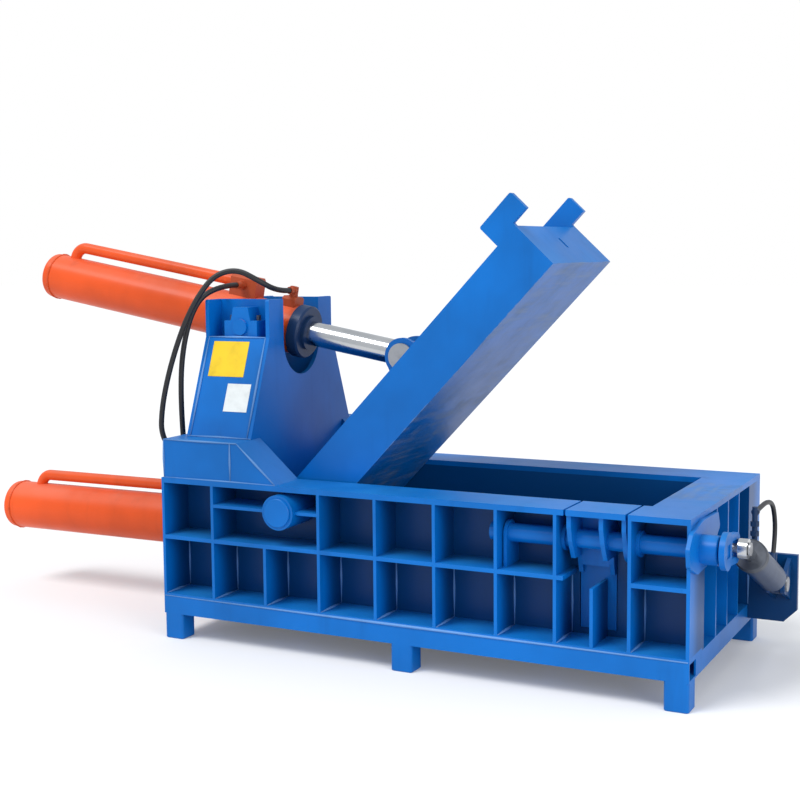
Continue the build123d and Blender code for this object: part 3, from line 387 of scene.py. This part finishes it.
class BALER_PG_paint(bpy.types.PropertyGroup):
    """Colours of the paint and the metals"""

    body_blue: FloatVectorProperty(
        name="Body blue", description="Enamel on the press box, lid and yoke",
        subtype="COLOR", size=3, min=0, max=1, default=(0.00, 0.41, 0.74),
    )
    # The lighter blue laid on level faces is partly dust and partly painted top light.
    body_dust_and_top_light: FloatVectorProperty(
        name="Dusty and top-lit blue", description="Blue where dust lies on level faces",
        subtype="COLOR", size=3, min=0, max=1, default=(0.20, 0.58, 0.84),
    )
    cylinder_orange: FloatVectorProperty(
        name="Cylinder orange", description="Enamel on the two press cylinders",
        subtype="COLOR", size=3, min=0, max=1, default=(0.90, 0.34, 0.14),
    )
    gland_navy: FloatVectorProperty(
        name="Gland navy", description="Paint on glands and the small cylinder",
        subtype="COLOR", size=3, min=0, max=1, default=(0.10, 0.20, 0.34),
    )
    yellow_plate: FloatVectorProperty(
        name="Yellow plate", description="Plain plate high on the front tower",
        subtype="COLOR", size=3, min=0, max=1, default=(0.93, 0.78, 0.10),
    )
    white_plate: FloatVectorProperty(
        name="White plate", description="Plain plate lower on the front tower",
        subtype="COLOR", size=3, min=0, max=1, default=(0.86, 0.88, 0.88),
    )
    gloss: FloatProperty(
        name="Paint roughness", description="Roughness of clean enamel",
        min=0.05, max=0.9, default=0.30,
    )


class BALER_PG_stage(bpy.types.PropertyGroup):
    """Camera and light"""

    camera_x: FloatProperty(
        name="Camera X", description="Camera place along the box from its left end",
        unit="LENGTH", default=3.7705,
    )
    camera_y: FloatProperty(
        name="Camera Y", description="Camera place back from the box's front face",
        unit="LENGTH", default=-5.0884,
    )
    camera_z: FloatProperty(
        name="Camera Z", description="Camera height", unit="LENGTH", default=1.7679,
    )
    heading: FloatProperty(
        name="Heading", description="Camera turn from +Y towards -X",
        subtype="ANGLE", default=math.radians(28.47),
    )
    pitch: FloatProperty(
        name="Pitch", description="Camera tilt below level",
        subtype="ANGLE", default=math.radians(5.78),
    )
    roll: FloatProperty(
        name="Roll", description="Camera roll", subtype="ANGLE", default=math.radians(-0.73),
    )
    lens: FloatProperty(
        name="Lens", description="Focal length in millimetres", min=10, default=61.93,
    )
    shift_x: FloatProperty(name="Shift X", description="Sideways lens shift", default=0.0585)
    shift_y: FloatProperty(name="Shift Y", description="Upward lens shift", default=-0.009)
    sun: FloatProperty(name="Sun", description="Strength of the main lamp", min=0, default=1.7)
    sky: FloatProperty(
        name="Sky", description="Strength of the soft light from all round", min=0, default=0.75,
    )


class BALER_PG_seams(bpy.types.PropertyGroup):
    """Welds, plates and hoses"""

    bead_radius: FloatProperty(
        name="Bead radius", description="Half width of a weld bead",
        unit="LENGTH", min=0.001, default=0.006,
    )
    ripple_pitch: FloatProperty(
        name="Ripple pitch", description="Distance from one weld ripple to the next",
        unit="LENGTH", min=0.001, default=0.012,
    )
    hose_radius: FloatProperty(
        name="Hose radius", description="Outer radius of the two long hoses",
        unit="LENGTH", min=0.001, default=0.013,
    )
    small_hose_radius: FloatProperty(
        name="Small hose radius", description="Outer radius of the short hose",
        unit="LENGTH", min=0.001, default=0.010,
    )


# Parts in the bays between the ribs, which get the painted shade.
BAY_NODES = (
    "front_ribs", "back_ribs", "front_wall_plate", "back_wall_plate",
    "front_mid_rail", "back_mid_rail",
)


class BALER_OT_paint_body(bpy.types.Operator):
    """Blue enamel on the box, yoke, lid and tray"""

    bl_idname = "baler.paint_body"
    bl_label = "Paint body"

    def execute(self, context):
        paint = context.scene.baler_paint
        colours = linear(paint.body_blue), linear(paint.body_dust_and_top_light), paint.gloss
        paint_nodes(enamel("body_enamel", *colours), "blue_paint")
        # A copy of the enamel with painted shade deep in the bays.
        shaded_bays = enamel("bay_enamel", *colours, bay_shade=0.85)
        for name in BAY_NODES:
            paint_node(shaded_bays, name)
        paint_node(enamel("lid_enamel", *colours, worn=under_lid), "lid_box")
        # A patchy greyer area in the middle of the end flange, drawn with the same grey mix as
        # the lid's rubbed underside.
        paint_node(enamel("rubbed_enamel", *colours, worn=end_flange_grey_patch), "end_top_flange")
        paint_node(turned_steel("scraped_steel", FLOOR_STEEL, 0.42), "floor_plate")
        return {"FINISHED"}


class BALER_OT_paint_cylinders(bpy.types.Operator):
    """Orange enamel, chrome and machined steel on the cylinders"""

    bl_idname = "baler.paint_cylinders"
    bl_label = "Paint cylinders"

    def execute(self, context):
        paint = context.scene.baler_paint
        gloss = paint.gloss
        orange = linear(paint.cylinder_orange)
        dusty = blended(orange, WARM_DUST, 0.4)
        navy = linear(paint.gland_navy)
        paint_nodes(enamel("cylinder_enamel", orange, dusty, gloss), "orange_paint")
        # The glands' level faces get a lighter navy, which is painted top light.
        paint_nodes(enamel("gland_enamel", navy, darker(navy, 1.3), gloss), "cylinder_paint")
        paint_nodes(hard_chrome("rod_chrome"), "rod_chrome")
        paint_nodes(turned_steel("bare_steel", PIN_STEEL, 0.32), "bare_steel")
        paint_nodes(turned_steel("bolt_steel", BOLT_STEEL, 0.42), "bolt_steel")
        blue = linear(paint.body_blue)
        paint_node(enamel("barrel_enamel", orange, dusty, gloss, ends=blue), "lid_barrel")
        # Painted shade: the turn-out bracket is the body blue at a third of its brightness, for
        # a face in shade; its level faces are lighter as painted top light.
        shaded = enamel("bracket_enamel", darker(blue, 0.32), darker(blue, 0.6), gloss)
        paint_node(shaded, "turnout_bracket")
        # Painted shade: the port blocks are orange darkened towards brown for the shade they sit
        # in, with a lighter tone on level faces as painted top light.
        shaded_port_orange = blended(orange, PORT_SHADE_BROWN, 0.55)
        paint_node(enamel("port_enamel", shaded_port_orange, darker(shaded_port_orange, 1.5), 0.40), "lid_port_blocks")
        return {"FINISHED"}


class BALER_OT_welds(bpy.types.Operator):
    """Weld beads along the seams of the yoke, blocks, flanges and base"""

    bl_idname = "baler.welds"
    bl_label = "Lay welds"

    def execute(self, context):
        paint = context.scene.baler_paint
        seams = context.scene.baler_seams
        # Painted highlight: the beads get a paler, greyer blue than the body for the light that
        # catches on their lumps.
        pale = blended(linear(paint.body_blue), WELD_SHEEN_GREY, 0.35)
        skin = enamel("weld_enamel", pale, linear(paint.body_dust_and_top_light), paint.gloss)
        lines = tower_seams() + block_seams() + base_seams() + end_seams()
        new_piece("weld_beads", bead_mesh(lines, seams), skin, "frame")
        orange = linear(paint.cylinder_orange)
        dusty = blended(orange, WARM_DUST, 0.4)
        skin = enamel("orange_weld", darker(orange, 0.85), dusty, paint.gloss)
        main_seam = bead_mesh([main_tail_ring()], seams)
        new_piece("main_tail_seam", main_seam, skin, "frame")
        lid_seam = bead_mesh([lid_tail_ring()], seams)
        new_piece("lid_tail_seam", lid_seam, skin, "lid_cylinder")
        return {"FINISHED"}


class BALER_OT_plates(bpy.types.Operator):
    """Plain yellow and white plates on the front tower"""

    bl_idname = "baler.plates"
    bl_label = "Fix plates"

    def execute(self, context):
        paint = context.scene.baler_paint
        yellow = plain_gloss("yellow_sheet", linear(paint.yellow_plate))
        white = plain_gloss("white_sheet", linear(paint.white_plate))
        high = tower_plate(207, 1285, 196, 172)
        low = tower_plate(293, 1112, 128, 134)
        new_piece("yellow_plate", high, yellow, "frame")
        new_piece("white_plate", low, white, "frame")
        return {"FINISHED"}


class BALER_OT_hoses(bpy.types.Operator):
    """Two long oil hoses behind the yoke and a short one on the small cylinder"""

    bl_idname = "baler.hoses"
    bl_label = "Run hoses"

    def execute(self, context):
        seams = context.scene.baler_seams
        skin = hose_skin("hose_cover")
        thick = seams.hose_radius
        thin = seams.small_hose_radius
        run_hose("front_oil_hose", "frame", FRONT_HOSE, thick, skin)
        run_hose("rear_oil_hose", "frame", REAR_HOSE, thick, skin)
        run_hose("turnout_hose", "turnout_cylinder", SHORT_HOSE, thin, skin)
        return {"FINISHED"}


# Hose routes in millimetres: two from the lid cylinder to the block on the end wall, and one
# from the riser to the rear port of the small cylinder

FRONT_HOSE = [
    (371.4, 555.7, 1596.2), (371.4, 444, 1596.2), (318, 358, 1650.2), (222, 330, 1702.2),
    (122, 290, 1676.2), (60, 244, 1580), (10, 206, 1462), (-38, 188, 1330), (-80, 176, 1190),
    (-112, 171, 1050), (-127, 178, 920), (-89.7, 240, 815), (-89.7, 240, 700),
]
REAR_HOSE = [
    (107, 499.7, 1623.8), (107, 395, 1623.8), (50, 300, 1584.8), (12, 258, 1500),
    (-20, 244, 1385), (-44, 242, 1255), (-58, 252, 1118), (-64, 264, 980), (-66, 278, 850),
    (-65, 300, 765), (-65, 300, 680),
]
SHORT_HOSE = [
    (2596, 445, 722), (2596, 533, 726), (2596, 635, 728), (2596, 737, 710),
    (2596, 794.5, 664.5), (2596, 828.5, 568.5), (2596, 791.1, 481.5),
]


def run_hose(name, body, route, radius, skin):
    """A smooth hose along a route, in place of the plain one of the CAD."""
    data = bpy.data.curves.new(name + "_line", "CURVE")
    data.dimensions = "3D"
    data.bevel_depth = radius
    data.bevel_resolution = 6
    data.resolution_u = 12
    data.use_fill_caps = True
    line = data.splines.new("NURBS")
    line.points.add(len(route) - 1)
    for point, place in zip(line.points, route):
        point.co = (*at(*place), 1)
    line.order_u = 3
    line.use_endpoint_u = True
    hose = bpy.data.objects.new(name + "_line", data)
    bpy.context.scene.collection.objects.link(hose)
    data.materials.append(skin)
    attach(hose, body)
    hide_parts(name)
    tuple(at(*route[0]))


# Weld beads. A seam's step is the distance from one ring of a bead to the next: in millimetres
# for a straight seam, and in metres for a round one.

SEAM_STEP = 3
LONG_SEAM_STEP = 4
RING_STEP = SEAM_STEP / 1000
BEAD_SIDES = 8
END_TAPER = 0.4


def straight(start, end, step):
    """Places along a seam between two points given in millimetres."""
    first = at(*start)
    last = at(*end)
    count = max(3, round((last - first).length / step) + 1)
    return [first.lerp(last, share) for share in spread(0, 1, count)]


def ring(centre, radius, toward, across, step):
    """Places round a circular seam, the last on the first."""
    count = max(12, round(FULL_TURN * radius / step))
    places = []
    for turn in spread(0, FULL_TURN, count + 1):
        places.append(centre + radius * (math.cos(turn) * toward + math.sin(turn) * across))
    return places


def bead_mesh(lines, seams):
    """Rippled beads, each a slender tube whose thickness rises and falls along it."""
    mesh = bpy.data.meshes.new("beads")
    whole = bmesh.new()
    for line in lines:
        add_bead(whole, line, seams)
    bmesh.ops.recalc_face_normals(whole, faces=whole.faces)
    for face in whole.faces:
        face.smooth = True
    whole.to_mesh(mesh)
    whole.free()
    return mesh


def add_bead(whole, line, seams):
    """Rings along a line, joined by faces and closed at both ends."""
    rings = []
    travelled = 0
    for number, place in enumerate(line):
        ahead = line[min(number + 1, len(line) - 1)] - line[max(number - 1, 0)]
        if number:
            travelled += (place - line[number - 1]).length
        ripple = abs(math.sin(math.pi * travelled / seams.ripple_pitch))
        wander = 0.12 * math.sin(travelled * 83) + 0.08 * math.sin(travelled * 211)
        radius = seams.bead_radius * (0.80 + 0.25 * ripple + wander)
        if number in (0, len(line) - 1):
            radius *= END_TAPER
        turn = ahead.to_track_quat("Z", "Y").to_matrix().to_4x4()
        place_turned = Matrix.Translation(place) @ turn
        made = bmesh.ops.create_circle(
            whole, segments=BEAD_SIDES, radius=radius, matrix=place_turned,
        )
        rings.append(made["verts"])
    for first, second in zip(rings, rings[1:]):
        for side in range(BEAD_SIDES):
            after = (side + 1) % BEAD_SIDES
            whole.faces.new((first[side], first[after], second[after], second[side]))
    whole.faces.new(rings[0])
    whole.faces.new(rings[-1])


def tower_seams():
    """Foot and leaning edges of both towers."""
    seams = []
    for side in (1, -1):
        foot = MIDDLE_Y - side * TOWER_FOOT_SPREAD
        head = MIDDLE_Y - side * TOWER_HEAD_SPREAD
        low = TOWER_FOOT_Z
        high = TOWER_HEAD_Z
        left = TOWER_LEFT
        right = TOWER_RIGHT
        seams.append(straight((left - 20, foot, low), (right + 20, foot, low), SEAM_STEP))
        for x in (left, right):
            seams.append(straight((x, foot, low + 1), (x, head, high - 2), SEAM_STEP))
        seams.append(straight((left, head, high), (right, head, high), SEAM_STEP))
    return seams


def block_seams():
    """Round the closed blocks under the towers and up their joint."""
    seams = []
    low = FLANGE_TOP
    high = BLOCK_TOP
    for side in (1, -1):
        face = MIDDLE_Y - side * BLOCK_FRONT
        for start, end in (
            ((10, low + 1), (BLOCK_RIGHT, low + 1)),
            ((10, high), (410, high)),
            ((411, high - 1), (BLOCK_RIGHT - 2, low + 3)),
            ((374, low + 4), (374, high - 2)),
            ((11, low + 4), (11, high - 2)),
        ):
            seams.append(straight((start[0], face, start[1]), (end[0], face, end[1]), SEAM_STEP))
    return seams


def base_seams():
    """Along the rails and the feet of the ribs."""
    step = LONG_SEAM_STEP
    level = SOLE_TOP
    seams = []
    for face in (0, BOX_WIDTH):
        seams.append(straight((4, face, 201), (BOX_LENGTH - 4, face, 201), step))
    for rib in RIB_PLACES:
        for x in (rib - 8, rib + 8):
            seams.append(straight((x, 4, level), (x, 186, level), step))
            seams.append(straight((x, 189, level + 1), (x, 189, 466), step))
    return seams


def end_seams():
    """Plates welded to the right-hand end."""
    face = BOX_LENGTH + 2
    bracket = straight((face - 1, 983, 204), (face - 1, 983, 438), SEAM_STEP)
    plate_foot = straight((face, 60, 535), (face, 190, 537), SEAM_STEP)
    plate_back = straight((face, 205, 545), (face, 385, 655), SEAM_STEP)
    return [bracket, plate_foot, plate_back]


def main_tail_ring():
    """Round the main barrel, at its tail cap."""
    return ring(at(*MAIN_TAIL), 0.1245, Vector((0, 1, 0)), Vector((0, 0, 1)), RING_STEP)


def lid_tail_ring():
    """Round the tilted lid barrel, at its tail cap."""
    turn = LID_CYLINDER_TILT
    along = Vector((math.cos(turn), 0, -math.sin(turn)))
    up = Vector((math.sin(turn), 0, math.cos(turn)))
    centre = at(*TRUNNION) - 1.316 * along
    return ring(centre, 0.1145, Vector((0, 1, 0)), up, RING_STEP)


# Plates on the tower

PLATE_THICKNESS = 0.0012


def plain_gloss(name, colour):
    """One plain colour under a slightly uneven gloss."""
    shade = Shade(name)
    dull = shade.noise(9.0, ROUGH_NOISE)
    tone = shade.mix(colour, darker(colour, 0.72), dull.between(0.45, 0.80))
    return shade.surface(Base_Color=tone, Roughness=0.30 + 0.2 * dull, IOR=1.45)


def tower_plate(x, z, width, height):
    """A thin plate that lies on the leaning front of the tower."""
    foot_y, foot_z = TOWER_SKIN_FOOT
    lean = math.atan2(TOWER_SKIN_RUN, TOWER_SKIN_RISE)
    y = foot_y + (z - foot_z) * TOWER_SKIN_RUN / TOWER_SKIN_RISE
    out = Vector((0, -math.cos(lean), math.sin(lean)))
    sheet = bmesh.new()
    size = Matrix.Diagonal((width / 1000, PLATE_THICKNESS, height / 1000, 1))
    middle = at(x, y, z) + PLATE_THICKNESS * out
    place = Matrix.Translation(middle) @ Matrix.Rotation(-lean, 4, "X")
    bmesh.ops.create_cube(sheet, size=1, matrix=place @ size)
    bmesh.ops.bevel(
        sheet, geom=sheet.edges[:], offset=0.0003, offset_type="OFFSET", segments=2,
        profile=0.5, affect="EDGES", material=-1,
    )
    mesh = bpy.data.meshes.new("tower_plate")
    sheet.to_mesh(mesh)
    sheet.free()
    return mesh


# Stage

FLOOR_HALF = 60
FLOOR_GREY = (0.80, 0.80, 0.80, 1.0)
SKY_BLUE_WHITE = (0.93, 0.96, 1.0, 1.0)
WHITE = (1, 1, 1, 1)
SUN_PLACE = (-2.5, -4.0, 7.5)
SUN_TARGET = (0.0, 0.0, 0.5)
SIDE_LAMP_PLACE = (6.5, -3.5, 3.0)
SIDE_LAMP_TARGET = (0.5, 0.0, 0.7)
SENSOR_WIDTH = 36
FAR_CLIP = 200


class BALER_OT_stage(bpy.types.Operator):
    """Floor, soft light and the camera"""

    bl_idname = "baler.stage"
    bl_label = "Set stage"

    def execute(self, context):
        stage = context.scene.baler_stage
        set_floor()
        set_sky(context.scene, stage.sky)
        set_lamps(stage.sun)
        set_camera(context.scene, stage)
        return {"FINISHED"}


def new_piece(name, mesh, material, body=None):
    """Link a mesh as a piece, and set it on a body when one is named."""
    piece = bpy.data.objects.new(name, mesh)
    bpy.context.scene.collection.objects.link(piece)
    piece.data.materials.append(material)
    if body:
        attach(piece, body)
    return piece


def set_floor():
    """A pale matt floor that is a little lighter to the camera."""
    sheet = bmesh.new()
    bmesh.ops.create_grid(sheet, x_segments=1, y_segments=1, size=FLOOR_HALF)
    mesh = bpy.data.meshes.new("floor")
    sheet.to_mesh(mesh)
    sheet.free()
    shade = Shade("floor_paint")
    seen = shade.add("ShaderNodeLightPath")["Is Camera Ray"]
    matt = shade.add("ShaderNodeBsdfDiffuse", None, {"Color": FLOOR_GREY})["BSDF"]
    light = {"Color": WHITE, "Strength": 0.12}
    glow = shade.add("ShaderNodeEmission", None, light)["Emission"]
    both = shade.add("ShaderNodeAddShader", None, {0: matt, 1: glow})["Shader"]
    mixed = shade.add("ShaderNodeMixShader", None, {0: seen, 1: matt, 2: both})["Shader"]
    shade.add("ShaderNodeOutputMaterial", None, {"Surface": mixed})
    new_piece("floor", mesh, shade.material)


def set_sky(scene, strength):
    """Soft light from all round, and plain white where the camera looks past the floor."""
    world = bpy.data.worlds.new("sky")
    scene.world = world
    world.use_nodes = True
    tree = world.node_tree
    tree.nodes.clear()
    path = tree.nodes.new("ShaderNodeLightPath")
    seen = tree.nodes.new("ShaderNodeMath")
    seen.operation = "MAXIMUM"
    tree.links.new(path.outputs["Is Camera Ray"], seen.inputs[0])
    tree.links.new(path.outputs["Is Transmission Ray"], seen.inputs[1])
    soft = tree.nodes.new("ShaderNodeBackground")
    soft.inputs["Color"].default_value = SKY_BLUE_WHITE
    soft.inputs["Strength"].default_value = strength
    plain = tree.nodes.new("ShaderNodeBackground")
    plain.inputs["Color"].default_value = WHITE
    plain.inputs["Strength"].default_value = 1.0
    mixed = tree.nodes.new("ShaderNodeMixShader")
    out = tree.nodes.new("ShaderNodeOutputWorld")
    tree.links.new(seen.outputs["Value"], mixed.inputs[0])
    tree.links.new(soft.outputs["Background"], mixed.inputs[1])
    tree.links.new(plain.outputs["Background"], mixed.inputs[2])
    tree.links.new(mixed.outputs["Shader"], out.inputs["Surface"])


def add_lamp(name, kind, energy, place, target, **settings):
    """A lamp at a place, aimed at a target."""
    data = bpy.data.lights.new(name, kind)
    data.energy = energy
    for key, value in settings.items():
        setattr(data, key, value)
    lamp = bpy.data.objects.new(name, data)
    bpy.context.scene.collection.objects.link(lamp)
    lamp.location = place
    aim = Vector(target) - Vector(place)
    lamp.rotation_euler = aim.to_track_quat("-Z", "Y").to_euler()
    return lamp


def set_lamps(sun):
    """A wide sun from the front left and a soft lamp from the right."""
    add_lamp("sun", "SUN", sun, SUN_PLACE, SUN_TARGET, angle=math.radians(25))
    add_lamp("side", "AREA", 160, SIDE_LAMP_PLACE, SIDE_LAMP_TARGET, size=4.0)


def set_camera(scene, stage):
    """The camera at the photo's angle, with its turns taken in order: heading, pitch, roll."""
    data = bpy.data.cameras.new("camera")
    data.sensor_width = SENSOR_WIDTH
    data.lens = stage.lens
    data.shift_x = stage.shift_x
    data.shift_y = stage.shift_y
    data.clip_end = FAR_CLIP
    camera = bpy.data.objects.new("camera", data)
    scene.collection.objects.link(camera)
    scene.camera = camera
    level = math.cos(stage.pitch)
    sine = math.sin(stage.heading)
    cosine = math.cos(stage.heading)
    ahead = Vector((-sine * level, cosine * level, -math.sin(stage.pitch)))
    right = Vector((cosine, sine, 0))
    up = right.cross(ahead)
    tilted_right = math.cos(stage.roll) * right + math.sin(stage.roll) * up
    tilted_up = math.cos(stage.roll) * up - math.sin(stage.roll) * right
    turn = Matrix((tilted_right, tilted_up, -ahead)).transposed().to_4x4()
    place = at(1000 * stage.camera_x, 1000 * stage.camera_y, 1000 * stage.camera_z)
    camera.matrix_world = Matrix.Translation(place) @ turn


class BALER_PT_panel(bpy.types.Panel):
    """Lists the steps and settings"""

    bl_idname = "BALER_PT_panel"
    bl_label = "Scrap baler"
    bl_space_type = "VIEW_3D"
    bl_region_type = "UI"
    bl_category = "Baler"

    def draw(self, context):
        for step in STEPS:
            self.layout.operator(step.bl_idname)
        scene = context.scene
        for settings in (scene.baler_paint, scene.baler_seams, scene.baler_stage):
            box = self.layout.box()
            for key in settings.__annotations__:
                box.prop(settings, key)


STEPS = (
    BALER_OT_stage, BALER_OT_paint_body, BALER_OT_paint_cylinders,
    BALER_OT_welds, BALER_OT_plates, BALER_OT_hoses,
)
CLASSES = (BALER_PG_paint, BALER_PG_seams, BALER_PG_stage) + STEPS + (BALER_PT_panel,)


def register():
    """Add the settings, the steps and the panel."""
    for kind in CLASSES:
        bpy.utils.register_class(kind)
    bpy.types.Scene.baler_paint = PointerProperty(type=BALER_PG_paint)
    bpy.types.Scene.baler_seams = PointerProperty(type=BALER_PG_seams)
    bpy.types.Scene.baler_stage = PointerProperty(type=BALER_PG_stage)


def unregister():
    """Take them away again, the last first."""
    del bpy.types.Scene.baler_stage
    del bpy.types.Scene.baler_seams
    del bpy.types.Scene.baler_paint
    for kind in reversed(CLASSES):
        bpy.utils.unregister_class(kind)


def main():
    """Dress the part step by step."""
    register()
    bpy.context.scene.view_settings.view_transform = "Standard"
    bpy.ops.baler.stage()
    bpy.ops.baler.paint_body()
    bpy.ops.baler.paint_cylinders()
    bpy.ops.baler.welds()
    bpy.ops.baler.plates()
    bpy.ops.baler.hoses()


if __name__ == "__main__":
    main()
